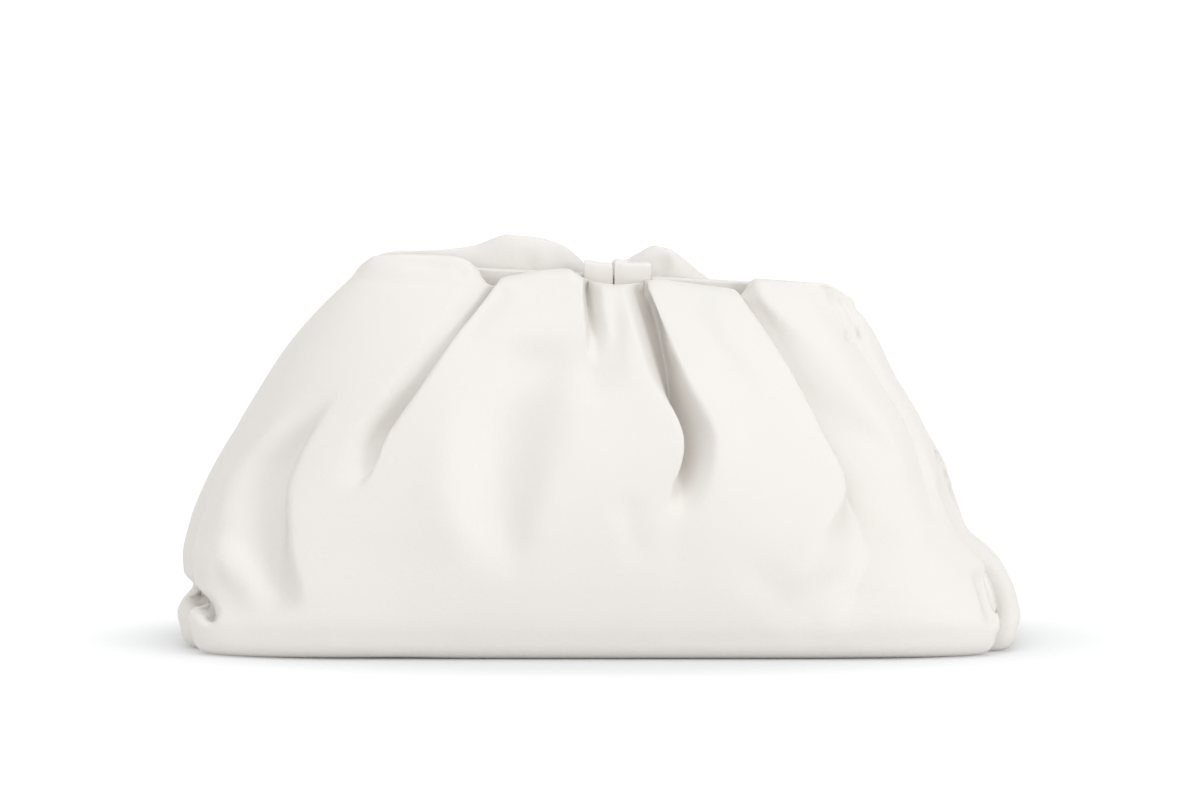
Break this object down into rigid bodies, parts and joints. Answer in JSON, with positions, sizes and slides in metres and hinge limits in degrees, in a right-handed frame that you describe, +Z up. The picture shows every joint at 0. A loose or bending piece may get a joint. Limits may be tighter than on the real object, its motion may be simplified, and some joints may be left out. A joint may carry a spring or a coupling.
{
  "type": "cloud pouch bag",
  "caption": "Soft gathered clutch bag of smooth off-white leather, drawn together on a straight leather-covered frame hidden in its folds, with a full rounded pouch that stands by itself.",
  "frame": {"origin": "middle of the bag's box, on the surface it stands on", "axes": "+X to the right as seen from the front, +Y to the back, +Z up"},
  "size_m": [0.397, 0.1534, 0.1939],
  "materials": {
    "nappa": "smooth satin, fine grain",
    "frame_nappa": "smooth satin",
    "steel": "satin"
  },
  "bodies": {
    "root": {"pouch_shell": "nappa", "front_frame_bar": "frame_nappa", "back_frame_bar": "frame_nappa", "centre_pleat_left": "nappa", "centre_pleat_right": "nappa", "left_hinge": "steel", "right_hinge": "steel"}
  },
  "joints": []
}
